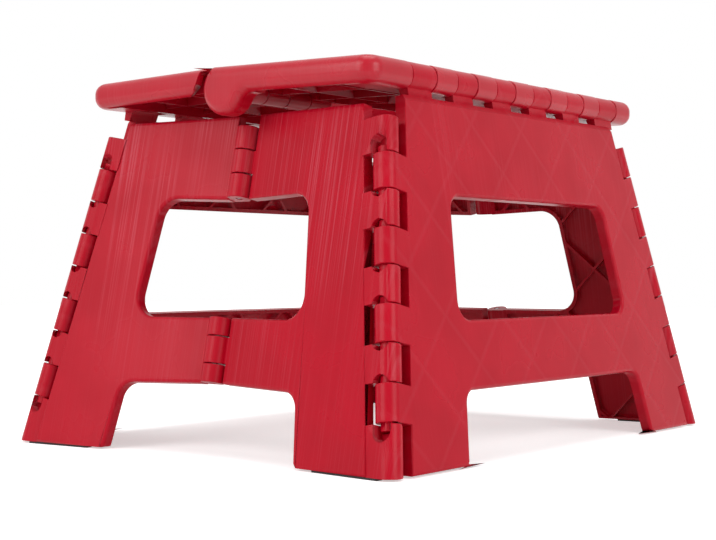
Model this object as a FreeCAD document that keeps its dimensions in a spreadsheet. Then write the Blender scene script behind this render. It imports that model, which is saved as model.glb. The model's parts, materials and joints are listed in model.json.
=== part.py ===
import FreeCAD, Part
import math
import os
import Sketcher

Vector = FreeCAD.Vector
Rotation = FreeCAD.Rotation
Placement = FreeCAD.Placement

# Folding step stool: two seat halves, two end panels and two sides that fold in the middle.
# Millimetres, Z up, origin on the floor below the middle of the seat.
# X runs across the fold, Y along the seat's centre hinge.

DRIVING_SIZES = {
    # All six upright hinge lines meet in one point above the stool.
    "apexHeight": 761.6,
    "cornerFootX": 136.0,
    "cornerFootY": 168.0,
    "middleFootY": 161.0,
    # Panels
    "panelDepth": 6.9,
    "skin": 2.4,
    "edgeWall": 2.6,
    "ribWidth": 1.8,
    "cellPitch": 38.0,
    "padInset": 3.35,
    "footPadHeight": 1.2,
    "footPadLength": 46.0,
    "footPadWidth": 4.6,
    "legCornerRadius": 3.5,
    # Corner hinges
    "barrelRadius": 6.9,
    "endEdgeTop": 8.7,
    "endEdgeFoot": 10.5,
    "sideEdgeTop": 10.6,
    "sideEdgeFoot": 9.7,
    "knucklePitch": 20.62,
    "lowestKnuckle": 28.2,
    "knuckleGap": 0.6,
    "stubRadius": 4.2,
    "stubLength": 4.2,
    "stubClearance": 0.35,
    "snapSlotLong": 10.0,
    "snapSlotShort": 4.2,
    # Side hinges in the middle
    "middleBarrelRadius": 6.9,
    "middleSlotGap": 1.3,
    "middleKnuckle": 14.3,
    "lowerMiddleKnuckle": 15.8,
    "pinRadius": 1.5,
    "middlePinClearance": 0.6,
    # End panel openings, measured up the panel and from its middle
    "endWindowTop": 146.8,
    "endWindowBottom": 77.8,
    "endWindowTopHalf": 86.0,
    "endWindowBottomHalf": 95.0,
    "endWindowRadius": 10.0,
    "endArchTop": 39.8,
    "endArchTopHalf": 97.8,
    "endArchFootHalf": 105.0,
    "endArchRadius": 9.0,
    # Side panel openings, measured up the middle hinge and from it
    "sideTopMiddle": 198.6,
    "sideTopCorner": 196.8,
    "sideWindowTopMiddle": 148.7,
    "sideWindowTopJamb": 149.7,
    "sideWindowBottomMiddle": 79.5,
    "sideWindowBottomJamb": 78.2,
    "sideWindowTopReach": 57.0,
    "sideWindowBottomReach": 65.8,
    "sideWindowRadius": 13.0,
    "sideArchMiddle": 41.8,
    "sideArchJamb": 39.0,
    "sideArchTopReach": 67.3,
    "sideArchFootReach": 73.0,
    "sideArchRadius": 11.0,
    # Seat
    "seatAxisX": 101.05,
    "seatAxisZ": 210.8,
    "seatTilt": 1.2,
    "seatHalfLength": 147.6,
    "rimRadius": 7.8,
    "rimEdgeRadius": 6.8,
    "seatCornerRadius": 10.5,
    "centreAxisDepth": 12.9,
    "seatSkin": 2.6,
    "seatWall": 2.6,
    "rimWall": 5.0,
    "seatRibPitch": 34.0,
    "buttGap": 0.3,
    "foldTravel": 165.0,
    "foldClearance": 0.35,
    "centreBarrelRadius": 6.2,
    "centreClearance": 0.6,
    "lobeRadius": 15.2,
    "lobeLength": 14.0,
    "lobeFillet": 8.0,
    "lobeClearance": 0.7,
    "rimEndRadius": 14.0,
    "handleHalfLength": 50.0,
    "handleReach": 17.0,
    "handleRadius": 8.0,
    "endKnuckle": 20.53,
    "outerEndKnuckle": 23.0,
    "endRowShift": 5.5,
    "endKnuckleClearance": 1.0,
    "openPivotPlay": 4.9,
    "rodRadius": 1.5,
    "rodClearance": 0.3,
    "underSeatGap": 4.0,
    "topBevelHeight": 3.6,
    "neckInset": 2.0,
}

CORNER_KNUCKLES = 9
END_COLUMNS = 11
CENTRE_KNUCKLES = 4
# Share of the barrel's radius at which a neck's back face meets it
NECK_BACK = 0.6

doc = FreeCAD.newDocument("FoldingStepStool")
sheet = doc.addObject("Spreadsheet::Sheet", "Sizes")
for row, (alias, number) in enumerate(DRIVING_SIZES.items(), start=1):
    sheet.set(f"A{row}", alias)
    sheet.set(f"B{row}", str(number))
    sheet.setAlias(f"B{row}", alias)
doc.recompute()


def size(alias):
    return float(sheet.get(alias))


# Where the hinge lines lie, worked out from the sheet
apex = Vector(0, 0, size("apexHeight"))
cornerFoot = Vector(size("cornerFootX"), -size("cornerFootY"), 0)
middleFoot = Vector(0, -size("middleFootY"), 0)
cornerLength = (cornerFoot - apex).Length
middleLength = (middleFoot - apex).Length
endSlant = math.hypot(size("cornerFootX"), size("apexHeight"))
endTilt = math.atan2(size("cornerFootX"), size("apexHeight"))


def unit(vector):
    return Vector(vector).normalize()


def frame_placement(origin, along_x, along_y):
    """Placement whose X and Y axes follow two given directions."""
    x_axis = unit(along_x)
    z_axis = unit(x_axis.cross(along_y))
    y_axis = z_axis.cross(x_axis)
    rotation = Rotation(x_axis, y_axis, z_axis, "ZXY")
    return Placement(origin, rotation)


def end_panel_frame():
    """End panel at +X: X along the stool, Y up the panel, Z outwards."""
    origin = Vector(size("cornerFootX"), 0, 0)
    return frame_placement(origin, Vector(0, 1, 0), apex - origin)


def side_panel_frame():
    """Front right side panel: Y up the middle hinge, X towards the corner, Z outwards.

    Its outer face holds the middle hinge line and passes one barrel radius
    outside the corner hinge line at half its height.
    """
    up = unit(apex - middleFoot)
    to_corner = cornerFoot - middleFoot
    across = to_corner - up * to_corner.dot(up)
    reach = across.Length
    outwards = unit(across.cross(up))
    middle_of_edge = cornerLength - size("endWindowTop") / 2 - size("endWindowBottom") / 2
    cover = size("barrelRadius") * cornerLength / middle_of_edge
    turn = math.asin(cover / reach)
    x_axis = unit(across) * math.cos(turn) + outwards * math.sin(turn)
    return frame_placement(middleFoot, x_axis, up)


endFrame = end_panel_frame()
sideFrame = side_panel_frame()


def bind(obj, prop, expression):
    obj.setExpression(prop, str(expression))


def sketch_polygon(name, corners, placement=None):
    """Closed outline whose corner coordinates are expressions on the sheet."""
    sketch = doc.addObject("Sketcher::SketchObject", name)
    points = []
    for across, up in corners:
        points.append(Vector(sketch.evalExpression(str(across)), sketch.evalExpression(str(up)), 0))
    count = len(points)
    for index in range(count):
        sketch.addGeometry(Part.LineSegment(points[index], points[(index + 1) % count]))
    for index in range(count):
        follower = (index + 1) % count
        sketch.addConstraint(Sketcher.Constraint("Coincident", index, 2, follower, 1))
    for index, (across, up) in enumerate(corners):
        for kind, expression, value in (("DistanceX", across, points[index].x),
                                        ("DistanceY", up, points[index].y)):
            if abs(value) < 1e-9 and str(expression) in ("0", "0.0"):
                continue
            number = sketch.addConstraint(Sketcher.Constraint(kind, -1, 1, index, 1, value))
            bind(sketch, f"Constraints[{number}]", expression)
    if placement is not None:
        sketch.Placement = placement
    return sketch


def extrude(name, sketch, forwards, backwards="0"):
    solid = doc.addObject("Part::Extrusion", name)
    solid.Base = sketch
    solid.DirMode = "Normal"
    solid.Solid = True
    bind(solid, "LengthFwd", forwards)
    bind(solid, "LengthRev", backwards)
    return solid


def cylinder(name, radius, height, placement):
    solid = doc.addObject("Part::Cylinder", name)
    bind(solid, "Radius", radius)
    bind(solid, "Height", height)
    solid.Placement = placement
    return solid


def box(name, length, width, height, placement):
    solid = doc.addObject("Part::Box", name)
    bind(solid, "Length", length)
    bind(solid, "Width", width)
    bind(solid, "Height", height)
    solid.Placement = placement
    return solid


def fuse(name, pieces):
    joined = doc.addObject("Part::MultiFuse", name)
    joined.Shapes = pieces
    return joined


def cut(name, base, tool):
    rest = doc.addObject("Part::Cut", name)
    rest.Base = base
    rest.Tool = tool
    return rest


def mirror(name, source):
    """Mirror image across the source's own YZ plane."""
    image = doc.addObject("Part::Mirroring", name)
    image.Source = source
    image.Normal = Vector(1, 0, 0)
    image.Base = Vector(0, 0, 0)
    return image


def round_upright_edges(name, base, spots, axis=Vector(0, 0, 1)):
    """Fillet the edges along one axis that pass near the given spots."""
    doc.recompute()
    choice = []
    for number, edge in enumerate(base.Shape.Edges, start=1):
        start, end = edge.Vertexes[0].Point, edge.Vertexes[-1].Point
        run = end - start
        if run.Length < 1e-6 or run.cross(axis).Length > 1e-4 * run.Length:
            continue
        for spot, radius in spots:
            away = start - spot
            away = away - axis * away.dot(axis)
            if away.Length < 0.05:
                choice.append((number, radius, radius))
    rounded = doc.addObject("Part::Fillet", name)
    rounded.Base = base
    rounded.Edges = choice
    return rounded


def square_cells(reach, low, high, floor_height, depth):
    """Square pockets standing on their corners, in rows that leave a rib between them."""
    pitch = size("cellPitch")
    side = pitch - size("ribWidth")
    turn = Rotation(Vector(0, 0, 1), 45)
    centre = turn.multVec(Vector(side / 2, side / 2, 0))
    step = pitch / math.sqrt(2)
    cells = []
    for row in range(math.floor(low / step), math.ceil(high / step) + 1):
        for column in range(-math.ceil(reach / step), math.ceil(reach / step) + 1):
            if (row + column) % 2:
                continue
            cell = Part.makeBox(side, side, depth)
            middle = Vector(column * step, row * step, floor_height)
            cell.Placement = Placement(middle - centre, turn)
            cells.append(cell)
    return Part.makeCompound(cells)


def latticed(name, plate, back_height, wall, low, high):
    """Hollow a plate from its back with square cells, inside an edge wall."""
    doc.recompute()
    back = None
    for face in plate.Shape.Faces:
        if abs(face.CenterOfMass.z - back_height) < 1e-4 and abs(face.normalAt(0, 0).z) > 0.99:
            if back is None or face.Area > back.Area:
                back = face
    depth = size("panelDepth") - size("skin")
    inside = back.makeOffset2D(-wall).extrude(Vector(0, 0, depth))
    reach = plate.Shape.BoundBox.XMax
    pockets = doc.addObject("Part::Feature", name + "Pockets")
    pockets.Shape = inside.common(square_cells(reach, low, high, back_height, depth))
    return cut(name, plate, pockets)


# Distances up the corner hinge line from the floor to each knuckle joint
def knuckle_joint(number):
    above_lowest = CORNER_KNUCKLES - 1 - number
    return size("lowestKnuckle") + above_lowest * size("knucklePitch")


def edge_distance(owner, share):
    """Expression for a plate edge's distance from its corner hinge, from foot (0) to top (1)."""
    return f"(Sizes.{owner}EdgeFoot + (Sizes.{owner}EdgeTop - Sizes.{owner}EdgeFoot) * ({share}))"


def corner_knuckles(name, numbers, strap_reach, with_stubs, foot_trim):
    """Barrels and straps of one panel along a corner hinge, in the hinge's own frame.

    The frame has its origin at the hinge's foot, Z up the hinge, X into the
    panel and Y out of its outer face.
    """
    half_gap = size("knuckleGap") / 2
    pieces = []
    for number in numbers:
        low = knuckle_joint(number) + half_gap
        high = knuckle_joint(number - 1) - half_gap
        if number == CORNER_KNUCKLES:
            low = -foot_trim
        at_low = Placement(Vector(0, 0, low), Rotation())
        pieces.append(cylinder(f"{name}Barrel{number}", "Sizes.barrelRadius", high - low, at_low))
        strap = box(f"{name}Strap{number}", strap_reach, "Sizes.barrelRadius", high - low, at_low)
        pieces.append(strap)
        if with_stubs:
            stub_low = low - size("stubLength")
            stub_height = high - low + 2 * size("stubLength")
            at_stub = Placement(Vector(0, 0, stub_low), Rotation())
            pieces.append(cylinder(f"{name}Stub{number}", "Sizes.stubRadius", stub_height, at_stub))
    return fuse(name, pieces)


def snap_slots(name, numbers):
    """Bores that take the other panel's stubs, and their open snap slots, in the hinge's frame."""
    bore_radius = size("stubRadius") + size("stubClearance")
    depth = size("stubLength") + size("stubClearance")
    across = 2 * (bore_radius + size("stubClearance"))
    bores = []
    slots = []
    for number in numbers:
        for end in ("low", "high"):
            if number == 1 and end == "high":
                continue
            if number == CORNER_KNUCKLES and end == "low":
                continue
            last = (number, end) in ((1, "low"), (CORNER_KNUCKLES, "high"))
            slot = size("snapSlotLong") if last else size("snapSlotShort")
            joint = knuckle_joint(number) if end == "low" else knuckle_joint(number - 1)
            sign = 1 if end == "low" else -1
            bore_start = joint if sign > 0 else joint - depth
            at_bore = Placement(Vector(0, 0, bore_start), Rotation())
            bores.append(cylinder(f"{name}Bore{number}{end}", bore_radius, depth, at_bore))
            straight = slot - across / 2
            if straight > 0:
                slot_start = joint if sign > 0 else joint - straight
                at_slot = Placement(Vector(-across / 2, 0, slot_start), Rotation())
                slots.append(box(f"{name}Slot{number}{end}", across, "2 * Sizes.barrelRadius",
                                 straight, at_slot))
            lie_down = Rotation(Vector(1, 0, 0), -90)
            at_arch = Placement(Vector(0, 0, joint + sign * straight), lie_down)
            slots.append(cylinder(f"{name}Arch{number}{end}", across / 2, "2 * Sizes.barrelRadius",
                                  at_arch))
    return fuse(name + "Bores", bores), fuse(name, slots)


def hinge_frame(foot, top, outwards):
    """Placement with Z up a hinge line, Y outwards from a panel and X into it."""
    up = unit(top - foot)
    y_axis = unit(outwards - up * outwards.dot(up))
    x_axis = y_axis.cross(up)
    return Placement(foot, Rotation(x_axis, y_axis, up, "ZYX"))


def floor_cut(name, frame, base):
    """Cut a panel level with the top of its foot pads, in the panel's own frame."""
    reach = 2 * size("cornerFootY")
    below = box(name + "Floor", 2 * reach, 2 * reach, "Sizes.cornerFootX", Placement())
    in_world = Placement(Vector(-reach, -reach, size("footPadHeight") - size("cornerFootX")), Rotation())
    below.Placement = frame.inverse().multiply(in_world)
    return cut(name, base, below)


def end_hinge_place():
    """Seat hinge line in the end panel's frame."""
    return endFrame.inverse().multVec(Vector(size("seatAxisX"), 0, size("seatAxisZ")))


def end_panel_blank():
    """End panel with a window, two legs, corner knuckles and seat knuckles, before its bore."""
    label = "endPanel"
    lean = size("cornerFootY") / endSlant
    slope = 1 / math.cos(math.atan(lean))
    inner = size("barrelRadius") - size("panelDepth")
    hinge = end_hinge_place()
    section = Rotation(Vector(1, 1, 1), 120)
    top = hinge.y - size("rimRadius") - size("underSeatGap")
    outer_floor = (size("footPadHeight") - size("barrelRadius") * math.sin(endTilt)) / math.cos(endTilt)

    def edge_at(height):
        away = edge_distance("end", f"({height}) / {top}")
        return f"Sizes.cornerFootY - {lean} * ({height}) - {slope} * {away}"

    outline = [
        (edge_at(outer_floor), outer_floor), (edge_at(top), top),
        (f"-({edge_at(top)})", top), (f"-({edge_at(outer_floor)})", outer_floor),
        ("-Sizes.endArchFootHalf", outer_floor), ("-Sizes.endArchTopHalf", "Sizes.endArchTop"),
        ("Sizes.endArchTopHalf", "Sizes.endArchTop"), ("Sizes.endArchFootHalf", outer_floor),
    ]
    at_back = Placement(Vector(0, 0, inner), Rotation())
    plate = extrude(label + "Plate", sketch_polygon(label + "Outline", outline, at_back),
                    "Sizes.panelDepth")
    spots = []
    for side in (1, -1):
        spots.append((Vector(side * size("endArchTopHalf"), size("endArchTop"), 0),
                      size("endArchRadius")))
        spots.append((Vector(side * size("endArchFootHalf"), outer_floor, 0),
                      size("legCornerRadius")))
    plate = round_upright_edges(label + "RoundPlate", plate, spots)
    window = [
        ("-Sizes.endWindowTopHalf", "Sizes.endWindowTop"),
        ("Sizes.endWindowTopHalf", "Sizes.endWindowTop"),
        ("Sizes.endWindowBottomHalf", "Sizes.endWindowBottom"),
        ("-Sizes.endWindowBottomHalf", "Sizes.endWindowBottom"),
    ]
    hole = extrude(label + "Window", sketch_polygon(label + "WindowOutline", window),
                   "2 * Sizes.panelDepth", "2 * Sizes.panelDepth")
    spots = []
    for side in (1, -1):
        spots.append((Vector(side * size("endWindowTopHalf"), size("endWindowTop"), 0),
                      size("endWindowRadius")))
        spots.append((Vector(side * size("endWindowBottomHalf"), size("endWindowBottom"), 0),
                      size("endWindowRadius")))
    hole = round_upright_edges(label + "RoundWindow", hole, spots)
    neck_face = size("barrelRadius") - size("neckInset")
    bevel = [(top - size("topBevelHeight"), "Sizes.barrelRadius"), (top, neck_face), (top, "Sizes.barrelRadius")]
    at_bevel = Placement(Vector(-size("cornerFootY"), 0, 0), section)
    bevel_cut = extrude(label + "Bevel", sketch_polygon(label + "BevelProfile", bevel, at_bevel),
                        "2 * Sizes.cornerFootY")
    plate = cut(label + "Frame", cut(label + "Bevelled", plate, bevel_cut), hole)
    plate = latticed(label + "Lattice", plate, inner, size("edgeWall"), 0, top)

    strap_reach = "Sizes.endEdgeFoot + Sizes.edgeWall / 4"
    knuckles = corner_knuckles(label + "Knuckles", (2, 4, 6, 8), strap_reach, True, 0)
    foot = Vector(size("cornerFootY"), 0, 0)
    knuckles.Placement = hinge_frame(foot, Vector(0, endSlant, 0), Vector(0, 0, 1))
    parts = [plate, knuckles, mirror(label + "FarKnuckles", knuckles)]
    across = Rotation(Vector(0, 1, 0), 90)
    for column, (low, high) in enumerate(end_columns(0)):
        at_low = Placement(Vector(low, hinge.y, hinge.z), across)
        parts.append(cylinder(f"{label}SeatBarrel{column}", "Sizes.rimRadius", high - low, at_low))
        neck = [
            (top - size("edgeWall") / 2, inner), (top - size("edgeWall") / 2, neck_face),
            (hinge.y, neck_face), (hinge.y, hinge.z),
            (hinge.y - size("rimRadius") / 2, hinge.z - size("rimRadius") * NECK_BACK), (top, inner),
        ]
        profile = sketch_polygon(f"{label}NeckProfile{column}", neck, Placement(Vector(low, 0, 0), section))
        parts.append(extrude(f"{label}SeatNeck{column}", profile, high - low))
    return floor_cut(label, endFrame, fuse(label + "Body", parts))


def end_panel(label, blank, rod_bore):
    """End panel whose seat knuckles are bored for the hinge rod."""
    hinge = end_hinge_place()
    reach = size("seatHalfLength")
    bore = cylinder(label + "RodBore", rod_bore, 2 * reach,
                    Placement(Vector(-reach, hinge.y, hinge.z), Rotation(Vector(0, 1, 0), 90)))
    panel = cut(label, blank, bore)
    panel.Label = label
    return panel


def end_columns(owner):
    """Spans along the seat of the end knuckles: owner 0 is the end panel, 1 the seat."""
    joints = []
    first = size("endRowShift") - (END_COLUMNS - 2) * size("endKnuckle") / 2
    joints.append(first - size("outerEndKnuckle"))
    for number in range(END_COLUMNS - 1):
        joints.append(first + number * size("endKnuckle"))
    joints.append(joints[-1] + size("outerEndKnuckle"))
    half_gap = size("knuckleGap") / 2
    spans = []
    for column in range(owner, END_COLUMNS, 2):
        spans.append((joints[column] + half_gap, joints[column + 1] - half_gap))
    return spans


def middle_rows():
    """Joints of the three knuckles on the upper and on the lower bar of a side."""
    low = size("sideWindowTopMiddle")
    step = size("middleKnuckle")
    upper = [low, low + step, low + 2 * step, low + 3 * step]
    centre = (size("sideWindowBottomMiddle") + size("sideArchMiddle")) / 2
    half = size("lowerMiddleKnuckle") / 2
    lower = [size("sideArchMiddle"), centre - half, centre + half, size("sideWindowBottomMiddle")]
    return upper, lower


def side_panel_blank():
    """One half of a folding side, drawn as the front right one, before its middle knuckles."""
    label = "sidePanel"
    local = sideFrame.inverse()
    corner_foot = local.multVec(cornerFoot)
    top_of_axis = Vector(0, middleLength, 0)
    lean = corner_foot.x / (middleLength - corner_foot.y)
    slope = 1 / math.cos(math.atan(lean))
    inner_edge = "Sizes.middleBarrelRadius + Sizes.middleSlotGap"
    up = sideFrame.Rotation.multVec(Vector(0, 1, 0))
    sideways = sideFrame.Rotation.multVec(Vector(1, 0, 0))

    def edge_at(height):
        away = edge_distance("side", f"({height}) / Sizes.sideTopCorner")
        return f"{corner_foot.x + lean * corner_foot.y} - {lean} * ({height}) - {slope} * {away}"

    def floor_at(reach):
        return (size("footPadHeight") - reach * sideways.z) / up.z

    inner_foot = floor_at(size("sideArchFootReach"))
    outer_foot = floor_at(corner_foot.x - slope * size("sideEdgeFoot"))
    outline = [
        (inner_edge, "Sizes.sideArchMiddle"), ("Sizes.sideArchTopReach", "Sizes.sideArchJamb"),
        ("Sizes.sideArchFootReach", inner_foot), (edge_at(outer_foot), outer_foot),
        (edge_at("Sizes.sideTopCorner"), "Sizes.sideTopCorner"), (inner_edge, "Sizes.sideTopMiddle"),
        (inner_edge, "Sizes.sideWindowTopMiddle"), ("Sizes.sideWindowTopReach", "Sizes.sideWindowTopJamb"),
        ("Sizes.sideWindowBottomReach", "Sizes.sideWindowBottomJamb"),
        (inner_edge, "Sizes.sideWindowBottomMiddle"),
    ]
    at_back = Placement(Vector(0, 0, -size("panelDepth")), Rotation())
    plate = extrude(label + "Plate", sketch_polygon(label + "Outline", outline, at_back),
                    "Sizes.panelDepth")
    spots = [
        (Vector(size("sideArchTopReach"), size("sideArchJamb"), 0), size("sideArchRadius")),
        (Vector(size("sideArchFootReach"), inner_foot, 0), size("legCornerRadius")),
        (Vector(size("sideWindowTopReach"), size("sideWindowTopJamb"), 0), size("sideWindowRadius")),
        (Vector(size("sideWindowBottomReach"), size("sideWindowBottomJamb"), 0),
         size("sideWindowRadius")),
    ]
    plate = round_upright_edges(label + "RoundPlate", plate, spots)
    plate = latticed(label + "Lattice", plate, -size("panelDepth"), size("edgeWall"),
                     0, size("sideTopMiddle"))

    frame = hinge_frame(corner_foot, top_of_axis, Vector(0, 0, 1))
    numbers = (1, 3, 5, 7, 9)
    strap_reach = "Sizes.sideEdgeTop + Sizes.edgeWall / 4"
    knuckles = corner_knuckles(label + "Knuckles", numbers, strap_reach, False,
                               size("footPadLength") / 10)
    knuckles.Placement = frame
    bores, slots = snap_slots(label + "Slots", numbers)
    bores.Placement = frame
    slots.Placement = frame
    bored = cut(label + "Stubs", fuse(label + "Body", [plate, knuckles]), bores)
    hinged = cut(label + "Hinged", bored, slots)
    return floor_cut(label, sideFrame, hinged)


def side_panel(label, blank, owned_rows, mirrored):
    """Side panel with its own rows of the middle hinge's knuckles."""
    half_gap = size("knuckleGap") / 2
    upright = Rotation(Vector(1, 0, 0), -90)
    strap_reach = "Sizes.middleBarrelRadius + Sizes.middleSlotGap + Sizes.edgeWall / 2"
    parts = [blank]
    for bar, joints in enumerate(middle_rows()):
        for row in owned_rows:
            low = joints[row] + half_gap
            high = joints[row + 1] - half_gap
            name = f"{label}Middle{bar}{row}"
            parts.append(cylinder(name + "Barrel", "Sizes.middleBarrelRadius", high - low,
                                  Placement(Vector(0, low, 0), upright)))
            at_back = Placement(Vector(0, low, -size("panelDepth")), Rotation())
            parts.append(box(name + "Strap", strap_reach, high - low, "Sizes.panelDepth", at_back))
    body = fuse(label + "Body", parts)
    bore = cylinder(label + "PinBore", "Sizes.pinRadius + Sizes.middlePinClearance",
                    "Sizes.apexHeight", Placement(Vector(0, 0, 0), upright))
    panel = cut(label + "Bored", body, bore)
    if mirrored:
        panel = mirror(label, panel)
    panel.Label = label
    return panel


def seat_layout():
    """Place of the end hinge in a seat half's frame, which starts at the centre hinge."""
    tilt = math.radians(size("seatTilt"))
    rise = size("centreAxisDepth") - size("rimRadius")
    reach = (size("seatAxisX") - rise * math.sin(tilt)) / math.cos(tilt)
    centre_height = size("seatAxisZ") + reach * math.sin(tilt) - rise * math.cos(tilt)
    return reach, rise, centre_height


seatReach, seatRise, centreHeight = seat_layout()
alongSeat = Rotation(Vector(1, 0, 0), -90)


def centre_spans(owner):
    """Spans of the centre knuckles: owner 0 is the half with its lobe at -Y."""
    far = centre_rod_far() - size("seatWall")
    pitch = (far - size("handleHalfLength") - size("seatWall")) / CENTRE_KNUCKLES
    half_gap = size("knuckleGap") / 2
    spans = []
    for number in range(CENTRE_KNUCKLES):
        outer = far - number * pitch
        at_front = (number % 2 == 1) == (owner == 0)
        if at_front:
            spans.append((-outer + half_gap, -outer + pitch - half_gap))
        else:
            spans.append((outer - pitch + half_gap, outer - half_gap))
    return spans


def seat_slab(label):
    """Flat slab and its hinge lobe, with one rounded rim along all their outer edges."""
    bottom = size("centreAxisDepth") - 2 * size("rimRadius")
    outer = seatReach + size("rimRadius")
    reach = size("seatHalfLength")
    outline = [
        ("Sizes.buttGap", "-Sizes.seatHalfLength"), (outer, "-Sizes.seatHalfLength"),
        (outer, "Sizes.seatHalfLength"), ("Sizes.buttGap", "Sizes.seatHalfLength"),
    ]
    at_bottom = Placement(Vector(0, 0, bottom), Rotation())
    slab = extrude(label + "Slab", sketch_polygon(label + "Outline", outline, at_bottom),
                   "2 * Sizes.rimRadius")
    spots = [(Vector(outer, side * reach, 0), size("seatCornerRadius")) for side in (1, -1)]
    slab = round_upright_edges(label + "RoundSlab", slab, spots)
    joined = fuse(label + "SlabAndLobe", [slab, seat_lobe(label)])
    joined.Refine = True
    doc.recompute()
    rim_edges = []
    radius = size("rimEdgeRadius")
    for number, edge in enumerate(joined.Shape.Edges, start=1):
        middle = edge.valueAt((edge.FirstParameter + edge.LastParameter) / 2)
        on_front = abs(middle.y + reach) < 1e-6
        level = abs(edge.Vertexes[0].Z - edge.Vertexes[-1].Z) < 1e-6
        inboard = middle.x < size("buttGap") + 0.01 or middle.y < size("lobeLength") - reach + 0.01
        if on_front or (level and not inboard):
            rim_edges.append((number, radius, radius))
    rim = doc.addObject("Part::Fillet", label + "Rim")
    rim.Base = joined
    rim.Edges = rim_edges
    return rim


def seat_cells(label):
    """Pockets in the underside, between crossing ribs and the wall round the handle slot."""
    top = size("centreAxisDepth")
    bottom = top - 2 * size("rimRadius")
    near = size("buttGap") + size("seatWall")
    far = seatReach - size("rimRadius") - size("endKnuckleClearance") - size("openPivotPlay")
    reach = size("seatHalfLength") - size("rimWall")
    hollow = box(label + "Hollow", far - near, 2 * reach, top - size("seatSkin") - bottom,
                 Placement(Vector(near, -reach, bottom), Rotation()))
    walls = []
    rib = size("ribWidth")
    pitch = size("seatRibPitch")
    rib_height = top - size("seatSkin")
    count = int(reach // pitch)
    for number in range(-count, count + 1):
        at_rib = Placement(Vector(0, number * pitch - rib / 2, 0), Rotation())
        walls.append(box(f"{label}CrossRib{number + count}", far, rib, rib_height, at_rib))
    for number in range(1, int(far // pitch) + 1):
        at_rib = Placement(Vector(number * pitch, -reach, 0), Rotation())
        walls.append(box(f"{label}LongRib{number}", rib, 2 * reach, rib_height, at_rib))
    handle_wall = size("handleHalfLength") + size("seatWall")
    at_wall = Placement(Vector(0, -handle_wall, bottom), Rotation())
    walls.append(box(label + "HandleWall", size("handleReach") + size("seatWall"), 2 * handle_wall,
                     top - bottom, at_wall))
    at_lobe = Placement(Vector(0, -size("seatHalfLength"), bottom), Rotation())
    walls.append(box(label + "LobeBlock", "Sizes.lobeRadius + Sizes.lobeFillet", "Sizes.lobeLength",
                     top - bottom, at_lobe))
    return cut(label + "Cells", hollow, fuse(label + "Walls", walls))


def fold_relief(label):
    """Wedge off the underside beside the centre hinge, where the folded halves meet."""
    bottom = size("centreAxisDepth") - 2 * size("rimRadius")
    clearance = size("foldClearance")
    folded_angle = 180 - 2 * size("seatTilt") - size("foldTravel")
    slope = math.tan(math.radians(folded_angle / 2))
    reach = (clearance - bottom) / slope
    profile = [(0, clearance), (reach, bottom), (reach, 2 * bottom), (0, 2 * bottom)]
    upright = Placement(Vector(0, size("seatHalfLength") + 1, 0), Rotation(Vector(1, 0, 0), 90))
    return extrude(label + "Wedge", sketch_polygon(label + "WedgeProfile", profile, upright),
                   "2 * Sizes.seatHalfLength + 1 - Sizes.lobeLength")


def seat_lobe(label):
    """Round boss about the centre hinge at the -Y end, curving into the rim beside it."""
    reach = size("seatHalfLength")
    bottom = size("centreAxisDepth") - 2 * size("rimRadius")
    disc = cylinder(label + "LobeDisc", "Sizes.lobeRadius", "Sizes.lobeLength",
                    Placement(Vector(0, -reach, 0), alongSeat))
    drop = bottom - size("lobeFillet")
    run = math.sqrt((size("lobeRadius") + size("lobeFillet")) ** 2 - drop ** 2)
    web = [(0, 0), (0, "Sizes.centreAxisDepth"), (run, "Sizes.centreAxisDepth"), (run, drop)]
    upright = Placement(Vector(0, -reach, 0), Rotation(Vector(1, 0, 0), 90))
    web = extrude(label + "LobeWeb", sketch_polygon(label + "LobeWebProfile", web, upright), "0",
                  "Sizes.lobeLength")
    hollow = cylinder(label + "LobeHollow", "Sizes.lobeFillet", "Sizes.lobeLength",
                      Placement(Vector(run, -reach, drop), alongSeat))
    lobe = fuse(label + "Lobe", [disc, cut(label + "LobeCurve", web, hollow)])
    width = 4 * size("lobeRadius")
    at_top = Placement(Vector(-width / 2, -reach - 1, size("centreAxisDepth")), Rotation())
    over_top = box(label + "OverTop", width, size("lobeLength") + 2, size("lobeRadius"), at_top)
    return cut(label + "FlatLobe", lobe, over_top)


def lobe_room(label):
    """Space at the +Y end for the other half's lobe, with the rim's end rounded below it."""
    radius = size("lobeRadius") + size("lobeClearance")
    start = size("seatHalfLength") - size("lobeLength") - size("lobeClearance")
    length = size("lobeLength") + size("lobeClearance") + 1
    rounding = size("rimEndRadius")
    bottom = size("centreAxisDepth") - 2 * size("rimRadius")
    room = cylinder(label + "LobeRoom", radius, length, Placement(Vector(0, start, 0), alongSeat))
    below = box(label + "RimEndBox", radius + rounding, length, 2 * rounding,
                Placement(Vector(0, start, bottom - rounding), Rotation()))
    at_round = Placement(Vector(radius + rounding, start, bottom + rounding), alongSeat)
    rounded = cylinder(label + "RimEndRound", rounding, length, at_round)
    return [room, cut(label + "RimEnd", below, rounded)]


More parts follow.
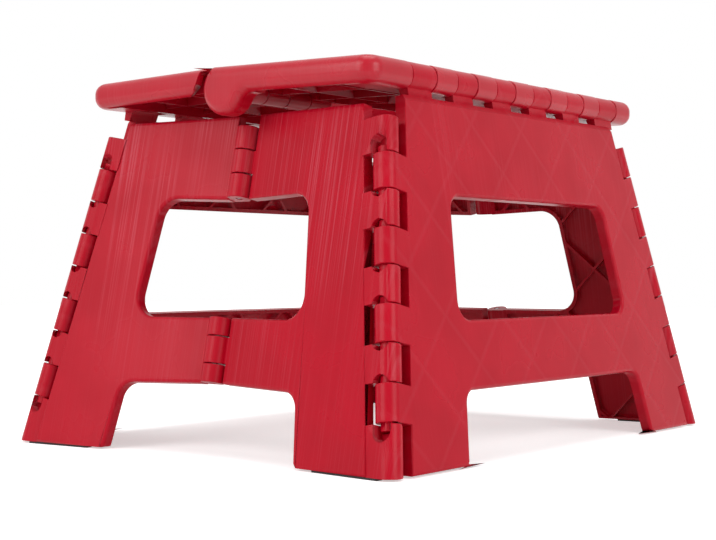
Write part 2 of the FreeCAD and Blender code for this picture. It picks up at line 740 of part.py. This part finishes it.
def seat_half_blank():
    """Seat half with rim, lobe, ribs and centre knuckles, before its end pockets."""
    label = "seatHalf"
    bottom = size("centreAxisDepth") - 2 * size("rimRadius")
    shell = cut(label + "Shell", seat_slab(label), fuse(label + "Below",
                                                       [seat_cells(label), fold_relief(label)]))
    clear = size("centreBarrelRadius") + size("centreClearance")
    web_reach = clear + size("seatWall")
    solids = [shell]
    for number, (low, high) in enumerate(centre_spans(0)):
        solids.append(cylinder(f"{label}CentreBarrel{number}", "Sizes.centreBarrelRadius",
                               high - low, Placement(Vector(0, low, 0), alongSeat)))
        solids.append(box(f"{label}Web{number}", web_reach, high - low,
                          "Sizes.centreAxisDepth - Sizes.seatSkin",
                          Placement(Vector(0, low, 0), Rotation())))
    tools = lobe_room(label)
    for number, (low, high) in enumerate(centre_spans(1)):
        start = low - size("knuckleGap")
        length = high - low + 2 * size("knuckleGap")
        tools.append(box(f"{label}CentrePocket{number}", 2 * clear, length, 3 * clear,
                         Placement(Vector(-clear, start, -2 * clear), Rotation())))
    tools.append(cylinder(label + "CentreRodBore", "Sizes.rodRadius + Sizes.rodClearance",
                          2 * centre_rod_far() + 2,
                          Placement(Vector(0, -centre_rod_far() - 1, 0), alongSeat)))
    handle = [
        ("-Sizes.handleReach", "-Sizes.handleHalfLength"), ("Sizes.handleReach", "-Sizes.handleHalfLength"),
        ("Sizes.handleReach", "Sizes.handleHalfLength"), ("-Sizes.handleReach", "Sizes.handleHalfLength"),
    ]
    slot = extrude(label + "Handle", sketch_polygon(label + "HandleOutline", handle),
                   "3 * Sizes.rimRadius", "3 * Sizes.rimRadius")
    spots = []
    for side in (1, -1):
        spots.append((Vector(size("handleReach"), side * size("handleHalfLength"), 0),
                      size("handleRadius")))
    tools.append(round_upright_edges(label + "RoundHandle", slot, spots))
    return cut(label, fuse(label + "Joined", solids), fuse(label + "Cuts", tools))


def seat_half(label, blank, clearance):
    """Seat half with pockets round the end panel's knuckles and the end rod's bore."""
    depth = 2 * size("rimRadius")
    tools = []
    for number, (low, high) in enumerate(end_columns(0)):
        start = low - size("knuckleGap")
        length = high - low + 2 * size("knuckleGap")
        tools.append(cylinder(f"{label}EndRoom{number}", size("rimRadius") + clearance, length,
                              Placement(Vector(seatReach, start, seatRise), alongSeat)))
        at_pocket = Placement(Vector(seatReach, start, seatRise - depth), Rotation())
        tools.append(box(f"{label}EndPocket{number}", depth, length, 2 * depth, at_pocket))
    tools.append(cylinder(label + "EndRodBore", "Sizes.rodRadius + Sizes.rodClearance",
                          2 * end_rod_reach() + 2,
                          Placement(Vector(seatReach, -end_rod_reach() - 1, seatRise), alongSeat)))
    half = cut(label, blank, fuse(label + "Cuts", tools))
    half.Label = label
    return half


def end_rod_reach():
    inner_reach = (END_COLUMNS - 2) * size("endKnuckle") / 2
    return inner_reach + size("outerEndKnuckle") + size("endRowShift") + size("seatWall")


def centre_rod_far():
    return size("seatHalfLength") - size("lobeLength")


def rod(label, radius, start, end):
    """Round steel rod between two points."""
    turn = Rotation(Vector(0, 0, 1), end - start)
    piece = cylinder(label, radius, (end - start).Length, Placement(start, turn))
    piece.Label = label
    return piece


def foot_pad(label, placement):
    """Thin rubber strip under a side panel's leg."""
    pad = box(label, "Sizes.footPadLength", "Sizes.footPadWidth", "Sizes.footPadHeight", placement)
    pad.Label = label
    return pad


half_turn = Placement(Vector(0, 0, 0), Rotation(Vector(0, 0, 1), 180))


def mirrored_frame(frame):
    """Frame of the left-hand side panel, whose own shape is already mirrored."""
    x_axis = frame.Rotation.multVec(Vector(1, 0, 0))
    y_axis = frame.Rotation.multVec(Vector(0, 1, 0))
    return frame_placement(frame.Base, Vector(x_axis.x, -x_axis.y, -x_axis.z), y_axis)


nodes = []
rodBore = size("rodRadius") + size("rodClearance")
endBlank = end_panel_blank()
endRight = end_panel("end_panel_right", endBlank, rodBore)
endLeft = end_panel("end_panel_left", endBlank, rodBore + size("openPivotPlay"))
endRight.Placement = endFrame
endLeft.Placement = half_turn.multiply(endFrame)
nodes += [endRight, endLeft]

sideBlank = side_panel_blank()
frontRight = side_panel("side_panel_front_right", sideBlank, (1,), False)
frontLeft = side_panel("side_panel_front_left", sideBlank, (0, 2), True)
frontRight.Placement = sideFrame
frontLeft.Placement = mirrored_frame(sideFrame)
nodes += [frontRight, frontLeft]
doc.recompute()
for label, source in (("side_panel_back_left", frontRight), ("side_panel_back_right", frontLeft)):
    turned = doc.addObject("Part::Feature", label)
    turned.Label = label
    turned.Shape = source.Shape
    turned.Placement = half_turn.multiply(source.Placement)
    nodes.append(turned)

seatBlank = seat_half_blank()
endClearance = size("endKnuckleClearance")
seatRight = seat_half("seat_half_right", seatBlank, endClearance)
seatLeft = seat_half("seat_half_left", seatBlank, endClearance / 2 + size("openPivotPlay"))
seatPlace = Placement(Vector(0, 0, centreHeight), Rotation(Vector(0, 1, 0), size("seatTilt")))
seatRight.Placement = seatPlace
seatLeft.Placement = half_turn.multiply(seatPlace)
nodes += [seatRight, seatLeft]

# Rods and pins that the knuckles turn on
for side, name in ((1, "right"), (-1, "left")):
    at_axis = Vector(side * size("seatAxisX"), 0, size("seatAxisZ"))
    reach = Vector(0, end_rod_reach(), 0)
    nodes.append(rod(f"seat_end_rod_{name}", "Sizes.rodRadius", at_axis - reach, at_axis + reach))
rod_start = size("handleHalfLength") + size("seatWall") / 2
for side, name in ((-1, "front"), (1, "back")):
    near = Vector(0, side * rod_start, centreHeight)
    far = Vector(0, side * centre_rod_far(), centreHeight)
    nodes.append(rod(f"seat_centre_rod_{name}", "Sizes.rodRadius", near, far))
for side, name in ((1, "front"), (-1, "back")):
    for bar, joints in zip(("upper", "lower"), middle_rows()):
        start = sideFrame.multVec(Vector(0, joints[0] + size("knuckleGap"), 0))
        end = sideFrame.multVec(Vector(0, joints[3] - size("knuckleGap"), 0))
        start.y *= side
        end.y *= side
        nodes.append(rod(f"middle_pin_{name}_{bar}", "Sizes.pinRadius", start, end))

# Foot pads, set in from the corner under each side panel's leg
pad_axis = sideFrame.Rotation.multVec(Vector(1, 0, 0))
pad_axis.z = 0
corner_reach = sideFrame.inverse().multVec(cornerFoot).x
pad_near = sideFrame.multVec(Vector(corner_reach - size("padInset") - size("footPadLength"), 0, 0))
pad_near.z = 0
pad_turn = Rotation(Vector(1, 0, 0), pad_axis)
pad_inset = pad_turn.multVec(Vector(0, (size("panelDepth") - size("footPadWidth")) / 2, 0))
pad_right = Placement(pad_near + pad_inset, pad_turn)
left_turn = Rotation(Vector(1, 0, 0), Vector(pad_axis.x, -pad_axis.y, 0))
left_start = pad_right.multVec(Vector(size("footPadLength"), 0, 0))
pad_left = Placement(Vector(-left_start.x, left_start.y, 0), left_turn)
nodes.append(foot_pad("foot_pad_front_right", pad_right))
nodes.append(foot_pad("foot_pad_front_left", pad_left))
nodes.append(foot_pad("foot_pad_back_left", half_turn.multiply(pad_right)))
nodes.append(foot_pad("foot_pad_back_right", half_turn.multiply(pad_left)))

doc.recompute()
for obj in doc.Objects:
    if "Invalid" in obj.State or "Error" in obj.State:
        raise RuntimeError(f"{obj.Label} did not compute: {obj.State}")
for node in nodes:
    if node.Shape.isNull() or not node.Shape.isValid():
        raise RuntimeError(f"{node.Label} has no valid shape")
    if len(node.Shape.Solids) != 1:
        raise RuntimeError(f"{node.Label} has {len(node.Shape.Solids)} solids")

os.makedirs("parts", exist_ok=True)
for node in nodes:
    node.Shape.exportStep(f"parts/{node.Label}.step")
    bounds = node.Shape.BoundBox
    print(f"{node.Label}: {node.Shape.Volume:.0f} mm3, "
          f"z {bounds.ZMin:.2f} to {bounds.ZMax:.2f}, faces {len(node.Shape.Faces)}")
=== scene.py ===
import bpy
import bmesh
import json
import math
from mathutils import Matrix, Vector


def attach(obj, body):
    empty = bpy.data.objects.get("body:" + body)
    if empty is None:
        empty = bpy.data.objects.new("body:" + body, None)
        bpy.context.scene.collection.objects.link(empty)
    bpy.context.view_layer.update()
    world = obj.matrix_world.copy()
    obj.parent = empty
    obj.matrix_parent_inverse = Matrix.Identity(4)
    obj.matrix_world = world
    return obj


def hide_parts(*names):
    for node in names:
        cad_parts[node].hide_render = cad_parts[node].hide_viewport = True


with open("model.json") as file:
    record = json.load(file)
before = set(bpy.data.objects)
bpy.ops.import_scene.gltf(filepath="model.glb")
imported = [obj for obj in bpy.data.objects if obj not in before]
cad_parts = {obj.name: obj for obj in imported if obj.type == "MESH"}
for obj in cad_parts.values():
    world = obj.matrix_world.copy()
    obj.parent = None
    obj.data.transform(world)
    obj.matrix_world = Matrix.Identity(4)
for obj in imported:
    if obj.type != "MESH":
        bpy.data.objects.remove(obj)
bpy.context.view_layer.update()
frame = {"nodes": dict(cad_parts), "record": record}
print("frame loaded")

# Red folding step stool, moulded in polypropylene, seen from beside and a little below the seat.
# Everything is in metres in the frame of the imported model.

# Semi-gloss moulded polypropylene: an even pigment, a soft sheen, faint flow and draw marks
plastic = {
    "colour": "#B90422",
    "deepColour": "#AD031E",
    "paleColour": "#CE6370",
    "roughness": 0.3,
    "roughnessSpread": 0.05,
    "panelReflectivity": 0.15,
    "seatReflectivity": 0.36,
    "cloudSize": 0.045,
    "cloudRange": (0.3, 0.7),
    "streakPitch": 0.001,
    # the real lines are finer than a render shows, so they are drawn about 1 mm apart
    "streakStretch": 0.004,
    "streakPatchSize": 0.06,
    "streakRange": (0.45, 0.75),
    "patchRange": (0.35, 0.65),
    "patchFloor": 0.3,
    "streakHeights": (0.03, 0.19),
    "streakShares": (0.3, 1.0),
    # sunken rib lines are painted paler: a painted sheen where the dents catch the light
    "sinkPaintedSheen": 0.045,
    "grainSize": 0.0006,
    "grainDepth": 0.00003,
    "sinkPitch": 0.038,
    "sinkWidth": 0.0035,
    "sinkDepth": 0.00006,
    "endStreaks": 0.12,
    "sideStreaks": 0.5,
    "seatStreaks": 0.1,
}

# Rounded edges that the mould leaves
softEdges = {
    "outerWidth": 0.0018,
    "knuckleShare": 0.28,
    "segments": 3,
    "sharpAngle": 35,
    "bevelAngle": 40,
    "mergeDistance": 0.00001,
    "flatAngle": 0.3,
    "planeDistance": 0.0001,
    "planeCosine": 0.9995,
    "barrelReach": 0.0086,
    "barrelInnerShare": 0.6,
    "hingeReach": 0.0125,
}

# Steel wire of the rods and pins, and the rubber of the foot pads
wireSteel = {
    "colour": "#B9BABC",
    "lineScale": 3000.0,
    "lineStretch": 0.05,
    "lineRange": (0.3, 0.7),
    "roughness": (0.2, 0.42),
}
padRubber = {
    "darkColour": "#1C1A1B",
    "paleColour": "#2B2829",
    "pebbleScale": 1400.0,
    "pebbleDepth": 0.0002,
    "roughness": 0.75,
}

# Pale floor and surroundings with three soft lamps
studio = {
    "floorColour": "#F4F4F4",
    "floorSize": 6.0,
    "worldStrength": 0.45,
    "floorGlow": 0.5,
    "farGlow": 1.0,
    "glowReach": (0.5, 1.6),
    "aim": (0, 0, 0.1),
    "lamps": [
        # name, place, width, power
        ("frontLamp", (-0.5, -1.6, 0.9), 1.2, 15.0),
        ("endLamp", (1.7, -0.15, 0.75), 1.0, 12.0),
        ("topLamp", (0.1, 0.1, 1.9), 1.2, 12.0),
    ],
}

# Camera of the photograph, fitted to its hinge lines
camera = {
    "place": (0.5712, -0.7529, 0.1040),
    "azimuth": 37.89,
    "pitch": -0.06,
    "focalPixels": 1465.0,
    "frameWidth": 716.0,
    "sensorWidth": 36.0,
}


def hexToLinear(code):
    channels = [int(code[i:i + 2], 16) / 255 for i in (1, 3, 5)]
    linear = [c / 12.92 if c <= 0.04045 else ((c + 0.055) / 1.055) ** 2.4 for c in channels]
    return (*linear, 1.0)


# One node with its settings and links; an input is a value or an output socket
def addNode(material, kind, settings=None, **inputs):
    tree = material.node_tree
    node = tree.nodes.new(kind)
    for name, value in (settings or {}).items():
        setattr(node, name, value)
    for name, value in inputs.items():
        socket = node.inputs[int(name[1:])] if name[1:].isdigit() else node.inputs[name.replace("_", " ")]
        if isinstance(value, bpy.types.NodeSocket):
            tree.links.new(value, socket)
        else:
            socket.default_value = value
    return node


def newMaterial(name):
    material = bpy.data.materials.new(name)
    material.use_nodes = True
    material.node_tree.nodes.clear()
    return material


def calculate(material, operation, first, second):
    node = addNode(material, "ShaderNodeMath", {"operation": operation}, _0=first, _1=second)
    return node.outputs["Value"]


def blendRange(material, value, low, high, toLow=0.0, toHigh=1.0):
    node = addNode(material, "ShaderNodeMapRange", {"interpolation_type": "SMOOTHSTEP"}, Value=value,
                   From_Min=low, From_Max=high, To_Min=toLow, To_Max=toHigh)
    return node.outputs["Result"]


# Whitish draw lines that run up the moulding, in patches
def drawLines(material, place, across, strength):
    axes = addNode(material, "ShaderNodeSeparateXYZ", Vector=place)
    stretched = calculate(material, "MULTIPLY", axes.outputs["Z"], plastic["streakStretch"])
    flat = addNode(material, "ShaderNodeCombineXYZ", _0=axes.outputs[across], _1=stretched)
    lines = addNode(material, "ShaderNodeTexNoise", Vector=flat.outputs["Vector"],
                    Scale=1 / plastic["streakPitch"], Detail=2.0, Roughness=0.5)
    patches = addNode(material, "ShaderNodeTexNoise", Vector=place,
                      Scale=1 / plastic["streakPatchSize"], Detail=2.0)
    lineMask = blendRange(material, lines.outputs["Fac"], *plastic["streakRange"])
    patchMask = blendRange(material, patches.outputs["Fac"], *plastic["patchRange"],
                           plastic["patchFloor"] * strength, strength)
    heightMask = blendRange(material, axes.outputs["Z"], *plastic["streakHeights"],
                            *plastic["streakShares"])
    lineInPatch = calculate(material, "MULTIPLY", lineMask, patchMask)
    return calculate(material, "MULTIPLY", lineInPatch, heightMask)


# Faint sunken lines over the crossing ribs behind an end panel's face
def sinkMarks(material, place):
    axes = addNode(material, "ShaderNodeSeparateXYZ", Vector=place)
    step = plastic["sinkPitch"] * math.sqrt(2)
    marks = []
    for sign in (1, -1):
        leaning = calculate(material, "MULTIPLY", axes.outputs["Z"], float(sign))
        across = calculate(material, "ADD", axes.outputs["Y"], leaning)
        shifted = calculate(material, "ADD", across, step / 2)
        inCell = calculate(material, "PINGPONG", shifted, step / 2)
        marks.append(blendRange(material, inCell, 0.0, plastic["sinkWidth"], 1.0, 0.0))
    return calculate(material, "MAXIMUM", marks[0], marks[1])


def mouldedPolypropylene(name, across, streaks, reflectivity, ribsBehind):
    material = newMaterial(name)
    place = addNode(material, "ShaderNodeTexCoord").outputs["Object"]
    clouds = addNode(material, "ShaderNodeTexNoise", Vector=place, Scale=1 / plastic["cloudSize"],
                     Detail=3.0, Roughness=0.5)
    grain = addNode(material, "ShaderNodeTexNoise", Vector=place, Scale=1 / plastic["grainSize"],
                    Detail=2.0, Roughness=0.6)
    marks = drawLines(material, place, across, streaks)
    if ribsBehind:
        # The sunken lines are bumped, and also painted paler as a painted sheen, not a colour of the
        # plastic
        sinks = sinkMarks(material, place)
        paintedSheen = calculate(material, "MULTIPLY", sinks, plastic["sinkPaintedSheen"])
        marks = calculate(material, "ADD", marks, paintedSheen)
    base = addNode(material, "ShaderNodeMix", {"data_type": "RGBA"},
                   _0=blendRange(material, clouds.outputs["Fac"], *plastic["cloudRange"]),
                   _6=hexToLinear(plastic["colour"]), _7=hexToLinear(plastic["deepColour"]))
    # draw lines are paler plastic; on end panels this mix also carries the painted sheen of the sunken
    # lines
    colour = addNode(material, "ShaderNodeMix", {"data_type": "RGBA"}, _0=marks,
                     _6=base.outputs[2], _7=hexToLinear(plastic["paleColour"]))
    rough = blendRange(material, clouds.outputs["Fac"], *plastic["cloudRange"],
                       plastic["roughness"] - plastic["roughnessSpread"],
                       plastic["roughness"] + plastic["roughnessSpread"])
    surface = addNode(material, "ShaderNodeBump", Height=grain.outputs["Fac"], Strength=0.5,
                      Distance=plastic["grainDepth"]).outputs["Normal"]
    if ribsBehind:
        surface = addNode(material, "ShaderNodeBump", {"invert": True}, Strength=1.0,
                          Height=sinks, Distance=plastic["sinkDepth"],
                          Normal=surface).outputs["Normal"]
    shader = addNode(material, "ShaderNodeBsdfPrincipled", Base_Color=colour.outputs[2], Roughness=rough,
                     Normal=surface, Specular_IOR_Level=reflectivity)
    addNode(material, "ShaderNodeOutputMaterial", Surface=shader.outputs["BSDF"])
    return material


# Drawn steel wire: grey, with fine marks along its length
def drawnSteelWire():
    material = newMaterial("drawnSteelWire")
    place = addNode(material, "ShaderNodeTexCoord").outputs["Object"]
    stretched = addNode(material, "ShaderNodeMapping", Vector=place,
                        Scale=(1.0, wireSteel["lineStretch"], 1.0))
    lines = addNode(material, "ShaderNodeTexNoise", Vector=stretched.outputs["Vector"],
                    Scale=wireSteel["lineScale"], Detail=2.0)
    rough = blendRange(material, lines.outputs["Fac"], *wireSteel["lineRange"], *wireSteel["roughness"])
    shader = addNode(material, "ShaderNodeBsdfPrincipled", Base_Color=hexToLinear(wireSteel["colour"]),
                     Metallic=1.0, Roughness=rough)
    addNode(material, "ShaderNodeOutputMaterial", Surface=shader.outputs["BSDF"])
    return material


# Black thermoplastic rubber: matt, with a fine pebbled skin
def mouldedRubber():
    material = newMaterial("mouldedRubber")
    place = addNode(material, "ShaderNodeTexCoord").outputs["Object"]
    pebbles = addNode(material, "ShaderNodeTexVoronoi", Vector=place,
                      Scale=padRubber["pebbleScale"])
    bump = addNode(material, "ShaderNodeBump", Height=pebbles.outputs["Distance"], Strength=0.2,
                   Distance=padRubber["pebbleDepth"])
    tone = addNode(material, "ShaderNodeMix", {"data_type": "RGBA"}, _0=pebbles.outputs["Distance"],
                   _6=hexToLinear(padRubber["darkColour"]), _7=hexToLinear(padRubber["paleColour"]))
    shader = addNode(material, "ShaderNodeBsdfPrincipled", Base_Color=tone.outputs[2],
                     Roughness=padRubber["roughness"], Normal=bump.outputs["Normal"])
    addNode(material, "ShaderNodeOutputMaterial", Surface=shader.outputs["BSDF"])
    return material


endPlastic = mouldedPolypropylene("mouldedPolypropyleneEnd", "Y", plastic["endStreaks"],
                                  plastic["panelReflectivity"], True)
sidePlastic = mouldedPolypropylene("mouldedPolypropyleneSide", "X", plastic["sideStreaks"],
                                   plastic["panelReflectivity"], False)
seatPlastic = mouldedPolypropylene("mouldedPolypropyleneSeat", "X", plastic["seatStreaks"],
                                   plastic["seatReflectivity"], False)
wire = drawnSteelWire()
rubber = mouldedRubber()
print("materials made")


def paint(piece, material):
    piece.data.materials.clear()
    piece.data.materials.append(material)


# Hinge lines from the record, with their half-turn copies for the hinges that stay open
def hingeLines():
    lines = []
    for joint in frame["record"]["behaviour"]["joints"]:
        for turn in (1, -1):
            x, y, z = joint["pos_m"]
            i, j, k = joint["axis"]
            lines.append((Vector((turn * x, turn * y, z)), Vector((turn * i, turn * j, k)).normalized()))
    return lines


hinges = hingeLines()


# The flat outer face of a moulding is its largest plane
def outerPlane(work):
    planes = {}
    for face in work.faces:
        normal = face.normal
        key = (round(normal.x, 3), round(normal.y, 3), round(normal.z, 3),
               round(normal.dot(face.verts[0].co), 4))
        planes[key] = planes.get(key, 0.0) + face.calc_area()
    x, y, z, distance = max(planes, key=planes.get)
    return Vector((x, y, z)).normalized(), distance


def liesIn(face, normal, distance):
    if face.normal.dot(normal) < softEdges["planeCosine"]:
        return False
    return all(abs(v.co.dot(normal) - distance) < softEdges["planeDistance"] for v in face.verts)


def besideHinge(edge):
    middle = (edge.verts[0].co + edge.verts[1].co) / 2
    return any((middle - origin).cross(axis).length < softEdges["hingeReach"] for origin, axis in hinges)


def roundsBarrel(edge):
    along = (edge.verts[1].co - edge.verts[0].co).normalized()
    for origin, axis in hinges:
        if abs(along.dot(axis)) > 0.1:
            continue
        offsets = [(v.co - origin).cross(axis).length for v in edge.verts]
        inner = softEdges["barrelInnerShare"] * softEdges["barrelReach"]
        if max(offsets) < softEdges["barrelReach"] and min(offsets) > inner:
            return True
    return False


# A merged copy of a node whose outer outline and barrel ends are rounded as a mould leaves them
def softMoulding(nodeName, material):
    hingeShare = softEdges["knuckleShare"]
    source = frame["nodes"][nodeName]
    mesh = source.data.copy()
    mesh.name = nodeName + "Moulding"
    mesh.transform(source.matrix_world)
    piece = bpy.data.objects.new(nodeName + "Moulding", mesh)
    bpy.context.scene.collection.objects.link(piece)
    work = bmesh.new()
    work.from_mesh(mesh)
    bmesh.ops.remove_doubles(work, verts=work.verts, dist=softEdges["mergeDistance"])
    bmesh.ops.dissolve_limit(work, angle_limit=math.radians(softEdges["flatAngle"]),
                             use_dissolve_boundaries=False, verts=work.verts, edges=work.edges)
    work.normal_update()
    normal, distance = outerPlane(work)
    outerFaces = {face.index for face in work.faces if liesIn(face, normal, distance)}
    weights = work.edges.layers.float.new("bevel_weight_edge")
    for edge in work.edges:
        if len(edge.link_faces) != 2:
            continue
        if edge.calc_face_angle_signed(0.0) < math.radians(softEdges["bevelAngle"]):
            continue
        inOuter = [face.index in outerFaces for face in edge.link_faces]
        if inOuter[0] != inOuter[1]:
            edge[weights] = hingeShare if besideHinge(edge) else 1.0
        elif roundsBarrel(edge):
            edge[weights] = hingeShare
    work.to_mesh(mesh)
    work.free()
    mesh.polygons.foreach_set("use_smooth", [True] * len(mesh.polygons))
    mesh.set_sharp_from_angle(angle=math.radians(softEdges["sharpAngle"]))
    bevel = piece.modifiers.new("SoftEdges", "BEVEL")
    bevel.limit_method = "WEIGHT"
    bevel.width = softEdges["outerWidth"]
    bevel.segments = softEdges["segments"]
    bevel.use_clamp_overlap = False
    bevel.face_strength_mode = "FSTR_ALL"
    even = piece.modifiers.new("EvenShading", "WEIGHTED_NORMAL")
    even.keep_sharp = True
    even.use_face_influence = True
    even.weight = 100
    paint(piece, material)
    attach(piece, bodyOf[nodeName])
    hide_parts(nodeName)
    return piece


bodyOf = {}
for bodyName, nodeNames in frame["record"]["behaviour"]["bodies"].items():
    for nodeName in nodeNames:
        bodyOf[nodeName] = bodyName

mouldings = {"end_panel": endPlastic, "side_panel": sidePlastic, "seat_half": seatPlastic}
for nodeName in frame["nodes"]:
    family = "_".join(nodeName.split("_")[:2])
    if family in mouldings:
        softMoulding(nodeName, mouldings[family])
    elif family == "foot_pad":
        paint(frame["nodes"][nodeName], rubber)
    else:
        paint(frame["nodes"][nodeName], wire)
print("mouldings softened")


# True for the rays that should see a white studio
def whiteRays(material):
    path = addNode(material, "ShaderNodeLightPath")
    seen = calculate(material, "MAXIMUM", path.outputs["Is Camera Ray"], path.outputs["Is Glossy Ray"])
    return calculate(material, "MAXIMUM", seen, path.outputs["Is Transmission Ray"])


def studioFloor():
    half = studio["floorSize"] / 2
    mesh = bpy.data.meshes.new("StudioFloor")
    corners = [(-half, -half, 0), (half, -half, 0), (half, half, 0), (-half, half, 0)]
    mesh.from_pydata(corners, [], [(0, 1, 2, 3)])
    floor = bpy.data.objects.new("StudioFloor", mesh)
    bpy.context.scene.collection.objects.link(floor)
    material = newMaterial("palePaper")
    matt = addNode(material, "ShaderNodeBsdfDiffuse", Color=hexToLinear(studio["floorColour"]))
    place = addNode(material, "ShaderNodeTexCoord").outputs["Object"]
    distance = addNode(material, "ShaderNodeVectorMath", {"operation": "LENGTH"}, _0=place)
    strength = blendRange(material, distance.outputs["Value"], *studio["glowReach"], studio["floorGlow"],
                          studio["farGlow"])
    glow = addNode(material, "ShaderNodeEmission", Color=(1, 1, 1, 1),
                   Strength=calculate(material, "MULTIPLY", whiteRays(material), strength))
    both = addNode(material, "ShaderNodeAddShader", _0=matt.outputs["BSDF"], _1=glow.outputs["Emission"])
    addNode(material, "ShaderNodeOutputMaterial", Surface=both.outputs["Shader"])
    floor.data.materials.append(material)


# Soft light on the object, and white where the camera, a reflection or a see-through ray looks
def studioWorld():
    world = bpy.data.worlds.new("Studio")
    world.use_nodes = True
    world.node_tree.nodes.clear()
    soft = addNode(world, "ShaderNodeBackground", Color=(1, 1, 1, 1), Strength=studio["worldStrength"])
    white = addNode(world, "ShaderNodeBackground", Color=(1, 1, 1, 1), Strength=1.0)
    mixed = addNode(world, "ShaderNodeMixShader", _0=whiteRays(world), _1=soft.outputs["Background"],
                    _2=white.outputs["Background"])
    addNode(world, "ShaderNodeOutputWorld", Surface=mixed.outputs["Shader"])
    bpy.context.scene.world = world


def studioLamps():
    for name, place, width, power in studio["lamps"]:
        light = bpy.data.lights.new(name, "AREA")
        light.shape = "SQUARE"
        light.size = width
        light.energy = power
        lamp = bpy.data.objects.new(name, light)
        bpy.context.scene.collection.objects.link(lamp)
        lamp.location = place
        aim = Vector(studio["aim"]) - Vector(place)
        lamp.rotation_euler = aim.to_track_quat("-Z", "Y").to_euler()


def photoCamera():
    data = bpy.data.cameras.new("PhotoCamera")
    data.sensor_width = camera["sensorWidth"]
    data.sensor_fit = "HORIZONTAL"
    data.lens = camera["focalPixels"] / camera["frameWidth"] * camera["sensorWidth"]
    data.clip_start = 0.01
    eye = bpy.data.objects.new("PhotoCamera", data)
    eye.location = camera["place"]
    eye.rotation_euler = (math.radians(90 - camera["pitch"]), 0, math.radians(camera["azimuth"]))
    bpy.context.scene.collection.objects.link(eye)
    bpy.context.scene.camera = eye


studioFloor()
studioWorld()
studioLamps()
photoCamera()
bpy.context.scene.view_settings.view_transform = "Standard"
print("studio set")
